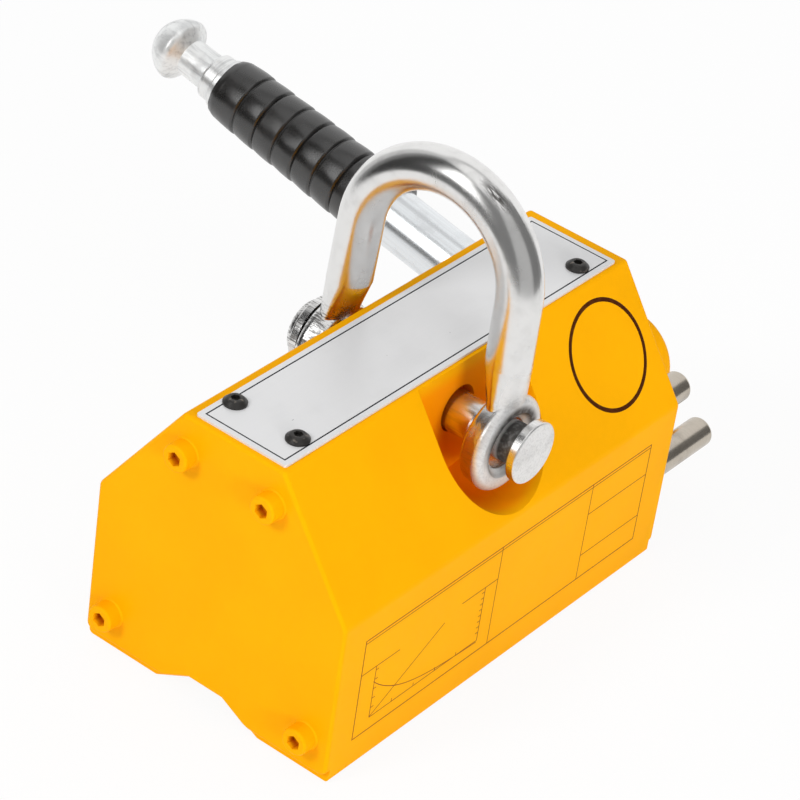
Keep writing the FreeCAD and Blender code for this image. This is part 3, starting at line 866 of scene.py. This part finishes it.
def fit(piece: bpy.types.Object, finish: Finish, body: Body, slot: Slot, *nodes: str) -> None:
    """Gives a new piece its finish and its place in the model.

    Args:
        piece: The piece, already where it belongs.
        finish: Its finish.
        body: The body that it moves with.
        slot: Not used.
        nodes: The CAD nodes that it stands for.
    """
    piece.data.materials.append(finish.material())
    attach(piece, body.value)
    if nodes:
        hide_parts(*nodes)
    faces = len(piece.data.polygons)
    log.info("piece %s on %s: %s, %d faces", piece.name, body.value, finish.name, faces)


@dataclass(frozen=True)
class Chart:
    """The plain table on the front with a bare graph in its first cell, in millimetres.

    A row of ticks is its first foot, its last foot, the run of one tick and their number.
    """

    across: Span = (-70.5, 68.8)
    up: Span = (10.9, 47.2)
    double_line: float = 1.1
    columns: Span = (-6.8, 38.4)
    rows: Span = (35.9, 20.1)
    axes: Span = (-63.6, -12.8)
    axis_tops: Span = (34.5, 35.4)
    axis_foot: float = 15.4
    shelves: Span = (-53.0, -24.0)
    rising: tuple[Span, Span] = ((-63.6, 15.6), (-31.7, 32.6))
    falling_x: Span = (-64.0, 51.0)
    falling_z: Triple = (14.9, 14.0, -0.4)
    decay: float = 3.6
    ticks: tuple[tuple[Span, Span, Span, int], ...] = (
        ((-63.6, 19.0), (-63.6, 33.0), (1.4, 0.0), 5),
        ((-12.8, 18.6), (-12.8, 33.8), (-1.4, 0.0), 8),
        ((-53.4, 15.4), (-23.0, 15.4), (0.0, 1.2), 4),
    )

    def border(self) -> Run:
        """The table's four corners."""
        (left, right), (low, high) = self.across, self.up
        return [(left, low), (right, low), (right, high), (left, high)]

    def falling(self) -> Run:
        """The falling curve: its height decays with e along its length and leans a little.

        Returns:
            The curve's points.
        """
        step = np.linspace(0.0, 1.0, 40)
        (start, length), (foot, height, lean) = self.falling_x, self.falling_z
        up = foot + height * np.exp(-self.decay * step) + lean * step
        return np.stack([start + length * step, up], axis=1)

    def marks(self) -> list[Run]:
        """The graph's ticks: each row's feet at even steps, and each foot with the run added."""
        rows = ((np.linspace(first, last, n), run) for first, last, run, n in self.ticks)
        return [np.stack([foot, foot + run]) for feet, run in rows for foot in feet]

    def runs(self) -> list[Run]:
        """The open lines: the cells, the graph's axes, its two curves and its ticks.

        Returns:
            The lines, each by its points in X and Z.
        """
        (left, right), (low, high) = self.across, self.up
        (first, last), (first_top, last_top) = self.axes, self.axis_tops
        second, foot = high - self.double_line, self.axis_foot
        return [
            [(left, second), (right, second)],
            *([(x, low), (x, high)] for x in self.columns),
            *([(self.columns[1], z), (right, z)] for z in self.rows),
            [(first, foot), (first, first_top)],
            [(first, foot), (last, foot)],
            [(last, foot), (last, last_top)],
            self.rising,
            [(left, first_top), (self.shelves[0], first_top)],
            [(self.shelves[1], last_top), (self.columns[0], last_top)],
            self.falling(),
            *self.marks(),
        ]


@dataclass
class Housing:
    """The painted pole halves, the covers with their screws, and the front's printed lines."""

    half_width: float = 46.3 * MM
    shoulder: float = 56.5 * MM
    crown: float = 96.0 * MM
    crown_half_width: float = 18.45 * MM
    cover_face: float = 81.4 * MM
    head_radius: float = 4.4 * MM
    head_height: float = 5.1 * MM
    bridge: float = 0.5 * MM
    bridge_root: float = 0.02 * MM
    bridge_sides: int = 56
    near_screws: tuple[Span, ...] = ((-16.0, 84.0), (16.0, 84.0), (-37.3, 13.7), (37.3, 13.7))
    far_screws: tuple[Span, ...] = ((-12.45, 79.0), (12.45, 79.0), (-37.3, 11.6), (37.3, 11.6))
    chart: Chart = Chart()
    border_line: float = 0.34 * MM
    chart_line: float = 0.26 * MM
    ring_centre: Span = (58.3 * MM, 26.0 * MM)
    ring_radius: float = 16.9 * MM
    ring_line: float = 1.4 * MM
    ring_sides: int = 160
    ink: float = 0.03 * MM

    def screws(self, end: End) -> tuple[Span, ...]:
        """The places of one cover's screws across and up, in metres."""
        places = self.near_screws if end is End.NEAR else self.far_screws
        return tuple((across * MM, up * MM) for across, up in places)

    def paint(self) -> None:
        """Paints the halves, covers and cover screws, and dresses what stays bare in between."""
        dress(YELLOW, "pole_front", "pole_rear", "crown_bar", "cover_near", "cover_far")
        tip = self.cover_face + self.head_height
        for end in End:
            side = end.name.lower()
            coat = ScrewPaint(f"yellow_enamel_{side}", axes=self.screws(end), tip=tip)
            dress(coat, f"cover_screws_{side}")
        dress(BRASS, "keel_bar", "saddle_bar")
        dress(NICKEL, "fixed_magnets")
        dress(BRONZE, "bush_near", "bush_far")
        dress(PIN_STEEL, "stop_pins", "safety_pins")

    def bridge_screws(self) -> None:
        """Runs paint up to the screw heads in a hollow fillet, a quarter circle carried round."""
        sweep = np.linspace(0.0, math.pi / 2.0, 9)
        arc = np.stack([1.0 - np.sin(sweep), 1.0 - np.cos(sweep)], axis=1)[::-1] * self.bridge
        root = [[-self.bridge_root, self.bridge], [-self.bridge_root, 0.0]]
        profile = np.concatenate([arc, root]) + np.array([self.head_radius, 0.0])
        even = np.zeros((len(profile), self.bridge_sides))
        for end in End:
            face, out = self.cover_face * end.value, (end.value, 0, 0)
            rings = [revolved(profile, (face, *place), out, even) for place in self.screws(end)]
            made = Surface.joined(rings).piece(f"paint_bridges_{end.name.lower()}")
            fit(made, YELLOW, Body.HOUSING, Slot.PAINT)

    def front_line(self, places: Run, width: float, closed: bool) -> Surface:
        """A printed line on the front face.

        Args:
            places: Its points in X and Z, in millimetres.
            width: Its width in metres.
            closed: Whether it returns to its first point.

        Returns:
            The line's surface.
        """
        flat = np.asarray(places, float) * MM
        path = np.stack([flat[:, 0], np.full(len(flat), -self.half_width), flat[:, 1]], axis=1)
        return ribbon(path, (0.0, -1.0, 0.0), width, self.ink, closed)

    def print_chart(self) -> None:
        """Prints the front's plain table: its border, then its cells and its bare graph."""
        border = self.front_line(self.chart.border(), self.border_line, True)
        thin = [self.front_line(run, self.chart_line, False) for run in self.chart.runs()]
        made = Surface.joined([border, *thin]).piece("chart_lines", smooth=False)
        fit(made, CHART_INK, Body.HOUSING, Slot.PAINT)

    def print_ring(self) -> None:
        """Prints the plain ring on the front slope, a circle laid in the slope's own plane."""
        run = (0.0, self.half_width - self.crown_half_width, self.crown - self.shoulder)
        slope, across = Vector(run).normalized(), Vector((1.0, 0.0, 0.0))
        foot = Vector((self.ring_centre[0], -self.half_width, self.shoulder))
        middle = foot + slope * self.ring_centre[1]
        turn = circle(self.ring_sides)[:, None]
        flat = np.cos(turn) * np.array(across) + np.sin(turn) * np.array(slope)
        path = np.array(middle) + flat * self.ring_radius
        line = ribbon(path, tuple(across.cross(slope)), self.ring_line, self.ink, True)
        fit(line.piece("slope_ring", smooth=False), RING_INK, Body.HOUSING, Slot.PAINT)

    def build(self) -> None:
        """Dresses the housing and adds its paint and print."""
        self.paint()
        self.bridge_screws()
        self.print_chart()
        self.print_ring()


@dataclass
class NamePlate:
    """The bare plate on the crown, its border line and its button screws."""

    inset: float = 2.0 * MM
    line: float = 0.48 * MM
    ink: float = 0.02 * MM

    def build(self) -> None:
        """Dresses the plate and its screws and prints one closed line inside the plate's edge."""
        dress(SHEET, "name_plate")
        dress(OXIDE, "name_plate_screws")
        low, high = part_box("name_plate")
        west, east = low.x + self.inset, high.x - self.inset
        south, north = low.y + self.inset, high.y - self.inset
        corner = [(west, south), (east, south), (east, north), (west, north)]
        path = np.array([(*place, high.z) for place in corner])
        border = ribbon(path, (0.0, 0.0, 1.0), self.line, self.ink, True)
        fit(border.piece("plate_border", smooth=False), GREY_INK, Body.HOUSING, Slot.PLATE)


@dataclass
class Lever:
    """The lever: hub, tube, ringed rubber grip, collar and the push button through it.

    The grip's own sizes are in millimetres, with distances counted along the handle.
    """

    origin: Triple = (107.0 * MM, 0.0, 31.0 * MM)
    grip_start: float = 89.0
    grip_end: float = 164.3
    bore: float = 10.0
    root_radius: float = 12.4
    tip_radius: float = 11.2
    end_radius: float = 10.3
    root_round: float = 1.1
    rings: int = 8
    bevel: float = 3.0
    flare: float = 0.30
    flare_run: float = 0.9
    barrel: float = 0.16
    groove: float = 0.6
    groove_width: float = 0.38
    waves: tuple[Triple, ...] = ((0.05, 3, 0.21), (0.03, 7, -0.55))
    ragged: float = 0.16
    ragged_run: float = 1.2
    steps: int = 330
    sides: int = 112

    def dress(self) -> None:
        """Gives the lever's solids their finishes, the hidden ones too."""
        dress(YELLOW, "hub")
        dress(DRAWN, "handle_tube")
        dress(TURNED_PLATE, "collar")
        dress(KNOB_PLATE, "push_button")
        dress(PIN_STEEL, "rotor_shaft", "rotor_flange_near", "rotor_screws")
        dress(PIN_STEEL, "lock_key", "return_spring", "rotor_pole_front", "rotor_pole_rear")
        dress(NICKEL, "rotor_magnets")

    def outline(self) -> np.ndarray:
        """The grip's closed outline.

        Outside, the radius tapers evenly from root to tip. Each ring adds a flare that rises within
        a millimetre and fades along the ring, and half a sine wave for its barrel shape, and a
        bell-shaped groove is taken out at each joint. The tip falls off in a quarter cosine to the
        collar, the root is a quarter circle, and the bore closes the outline.

        Returns:
            Radius and distance along the handle in metres, by row.
        """
        span = np.linspace(self.grip_start, self.grip_end, self.steps)
        tip_start = self.grip_end - self.bevel
        from_start = span - self.grip_start
        ringed = tip_start - self.grip_start
        pitch = ringed / self.rings
        inner = np.mod(from_start, pitch)
        share = np.clip(from_start / ringed, 0.0, 1.0)
        radius = self.root_radius + (self.tip_radius - self.root_radius) * share
        flared = np.clip(inner / self.flare_run, 0.0, 1.0) * (1.0 - inner / pitch)
        radius = radius + self.flare * flared + self.barrel * np.sin(math.pi * inner / pitch)
        nearest = np.minimum(inner, pitch - inner)
        jointed = (from_start > 0.5 * pitch) & (span < tip_start - 0.5 * pitch)
        radius = radius - self.groove * np.exp(-((nearest / self.groove_width) ** 2)) * jointed
        tip = np.clip((span - tip_start) / self.bevel, 0.0, 1.0)
        fall = (self.tip_radius - self.end_radius) * np.cos(tip * math.pi / 2)
        radius = np.where(tip > 0, self.end_radius + fall, radius)
        root = 1.0 - np.clip(from_start / self.root_round, 0.0, 1.0)
        radius = radius - self.root_round * (1.0 - np.sqrt(1.0 - root**2))
        closing = [[self.bore, self.grip_end], [self.bore, self.grip_start]]
        return np.concatenate([np.stack([radius, span], axis=1), closing]) * MM

    def build_grip(self) -> None:
        """Carries the grip's outline round the handle's axis as a hand-fitted, uneven sleeve.

        The unevenness is two slow waves that wind along the grip, and a ragged edge at its tip.
        """
        outline = self.outline()
        turn = circle(self.sides)
        along = outline[:, 1:] / MM
        uneven = sum(size * np.sin(n * turn + along * wind) for size, n, wind in self.waves)
        edge = np.clip((along - self.grip_end) / self.ragged_run + 1.0, 0.0, 1.0)
        ragged = self.ragged * edge * np.sin(11 * turn + 2.0) * np.cos(4 * turn)
        outside = outline[:, :1] > (self.bore + 0.01) * MM
        swell = (uneven + ragged) * outside * MM
        axis = (0.0, math.cos(HANDLE_ANGLE), math.sin(HANDLE_ANGLE))
        made = revolved(outline, self.origin, axis, swell).piece("grip_sleeve")
        fit(made, RUBBER, Body.LEVER, Slot.GRIP, "grip")

    def build(self) -> None:
        """Dresses the lever and fits its grip."""
        self.dress()
        self.build_grip()


@dataclass
class Shackle:
    """The plated shackle with its through pin and riveted disc."""

    nodes: tuple[str, ...] = ("shackle", "shackle_pin", "pin_disc")

    def build(self) -> None:
        """Gives the forging, the pin and the disc their bright plating."""
        dress(FORGED, *self.nodes)


@dataclass(frozen=True)
class Screen:
    """A curved screen or window that only reflections see: a patch of a wide sphere."""

    name: str
    azimuth: Span
    height: Span
    tone: float
    reach: float = 2.2
    columns: int = 17
    rows: int = 13

    def build(self, centre: Triple) -> None:
        """Lays the screen as a grid: the centre plus reach times (cos h cos a, cos h sin a, sin h).

        Args:
            centre: The sphere's middle.
        """
        across = np.linspace(*np.radians(self.azimuth), self.columns)
        up = np.linspace(*np.radians(self.height), self.rows)
        turn, lift = np.meshgrid(across, up, indexing="ij")
        flat = np.cos(lift)
        ray = np.stack([flat * np.cos(turn), flat * np.sin(turn), np.sin(lift)], axis=-1)
        made = Surface.grid(np.array(centre) + self.reach * ray, False, False).piece(self.name)
        material, graph = blank_material(self.name)
        graph.show(graph.glow(self.tone))
        made.data.materials.append(material)
        made.visible_camera = False
        made.visible_diffuse = False
        made.visible_transmission = False
        made.visible_shadow = False


@dataclass(frozen=True)
class Lamp:
    """A soft rectangular lamp, left out of reflections, where the screens stand for it."""

    name: str
    place: Triple
    width: float
    height: float
    watts: float

    def build(self, target: Triple) -> None:
        """Hangs the lamp and turns it to its target.

        Args:
            target: The point that it faces.
        """
        data = bpy.data.lights.new(self.name, "AREA")
        data.shape = "RECTANGLE"
        data.size, data.size_y, data.energy = self.width, self.height, self.watts
        made = bpy.data.objects.new(self.name, data)
        aim = Vector(target) - Vector(self.place)
        made.location = self.place
        made.rotation_euler = aim.to_track_quat("-Z", "Y").to_euler()
        made.visible_glossy = False
        bpy.context.scene.collection.objects.link(made)


@dataclass
class Studio:
    """The pale floor, the white room, its lamps and screens, and the photograph's camera."""

    camera_place: Triple = (-0.71100020, -0.47263194, 0.66562479)
    camera_right: Triple = (0.6200944, -0.77480726, 0.12311233)
    camera_up: Triple = (0.38643766, 0.43822571, 0.81155663)
    camera_ahead: Triple = (0.68275096, 0.45566648, -0.57115601)
    focal_pixels: float = 3525.4826
    image_pixels: float = 800.0
    sensor: float = 36.0
    clip_end: float = 50.0
    room_light: float = 0.52
    table_radius: float = 0.53
    floor_radius: float = 4.0
    floor_middle: float = 0.001
    floor_drop: float = 0.3 * MM
    floor_rings: int = 8
    floor_sides: int = 48
    floor_matt: Colour = (0.90, 0.90, 0.90)
    floor_white: float = 0.92
    floor_mirrored: float = 0.75
    aim: Triple = (0.02, 0.0, 0.06)
    lamps: tuple[Lamp, ...] = (
        Lamp("key", (-0.62, -1.62, 0.38), 0.6, 0.5, 12.6),
        Lamp("top", (0.05, -0.1, 1.5), 1.8, 1.8, 5.6),
        Lamp("side", (-1.91, 0.59, 1.53), 0.6, 0.6, 22.0),
    )
    screen_centre: Triple = (0.0, 0.0, 0.12)
    screens: tuple[Screen, ...] = (
        Screen("screen_camera", (-182, -140), (-20, 58), 0.21),
        Screen("screen_front", (-140, -80), (-20, 56), 0.50),
        Screen("screen_right", (-80, -26), (-20, 64), 0.20),
        Screen("screen_brow", (-26, 102), (58, 68), 0.50),
        Screen("screen_rear", (80, 100), (-20, 58), 0.62),
        Screen("screen_turn", (100, 114), (-20, 62), 0.20),
        Screen("screen_left", (114, 149), (-20, 64), 0.03),
        Screen("screen_low", (149, 178), (-20, 17), 0.17),
        Screen("window_tall", (149, 167), (17, 57), 3.0),
        Screen("window_short", (167, 178), (18, 44), 1.6),
        Screen("screen_high", (149, 167), (57, 66), 0.45),
        Screen("screen_above", (167, 178), (44, 66), 0.38),
    )

    def camera(self) -> None:
        """Sets the camera: its axes as columns, and the focal length in sensor widths."""
        data = bpy.data.cameras.new("camera")
        data.sensor_width = self.sensor
        data.lens = self.sensor * self.focal_pixels / self.image_pixels
        data.clip_end = self.clip_end
        made = bpy.data.objects.new("camera", data)
        back = [-c for c in self.camera_ahead]
        turn = Matrix((self.camera_right, self.camera_up, back)).transposed()
        made.matrix_world = Matrix.Translation(self.camera_place) @ turn.to_4x4()
        bpy.context.scene.collection.objects.link(made)
        bpy.context.scene.camera = made

    def room(self) -> None:
        """Lights the world: full white to the eye and in reflections, a plain level elsewhere."""
        world = bpy.data.worlds.new("room")
        world.use_nodes = True
        bpy.context.scene.world = world
        graph = Graph(world.node_tree)
        seen = reduce(Wire.most, graph.rays("Camera", "Glossy", "Transmission"))
        level = seen * (1.0 - self.room_light) + self.room_light
        sky = graph.node("ShaderNodeBackground", None, {"Color": WHITE, "Strength": level})
        graph.show(sky, "ShaderNodeOutputWorld")

    def floor_finish(self) -> bpy.types.Material:
        """A matt floor that is white to the eye, but for a share of its shadow, and in reflections.

        Returns:
            The material.
        """
        material, graph = blank_material("floor_white")
        matt = graph.node("ShaderNodeBsdfDiffuse", None, {"Color": self.floor_matt})
        seen, mirrored = graph.rays("Camera", "Glossy")
        share = (seen * self.floor_white).most(mirrored * self.floor_mirrored)
        parts = {0: share, 1: matt.outputs[0], 2: graph.glow(1.0).outputs[0]}
        graph.show(graph.node("ShaderNodeMixShader", None, parts))
        return material

    def floor(self) -> None:
        """Lays the floor as rings of points round the origin.

        Reflections see only its middle, a table's top, and the screens beyond that.
        """
        material = self.floor_finish()
        edges = (self.floor_middle, self.table_radius, self.floor_radius)
        for name, span, mirrored in (("table", edges[:2], True), ("floor", edges[1:], False)):
            out = np.linspace(*span, self.floor_rings)
            reach, turn = np.meshgrid(out, circle(self.floor_sides), indexing="ij")
            level = np.full_like(turn, -self.floor_drop)
            points = np.stack([reach * np.cos(turn), reach * np.sin(turn), level], axis=-1)
            made = Surface.grid(points, False, True).piece(name, smooth=False)
            made.visible_glossy = mirrored
            made.data.materials.append(material)

    def build(self) -> None:
        """Sets up the whole studio."""
        self.camera()
        self.room()
        self.floor()
        for lamp in self.lamps:
            lamp.build(self.aim)
        for screen in self.screens:
            screen.build(self.screen_centre)
        bpy.context.scene.view_settings.view_transform = "Standard"


def main() -> None:
    """Builds the sub-assemblies in order."""
    logging.basicConfig(level=logging.INFO, format="%(message)s")
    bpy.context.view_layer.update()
    for assembly in (Housing(), NamePlate(), Lever(), Shackle(), Studio()):
        assembly.build()


if __name__ == "__main__":
    main()
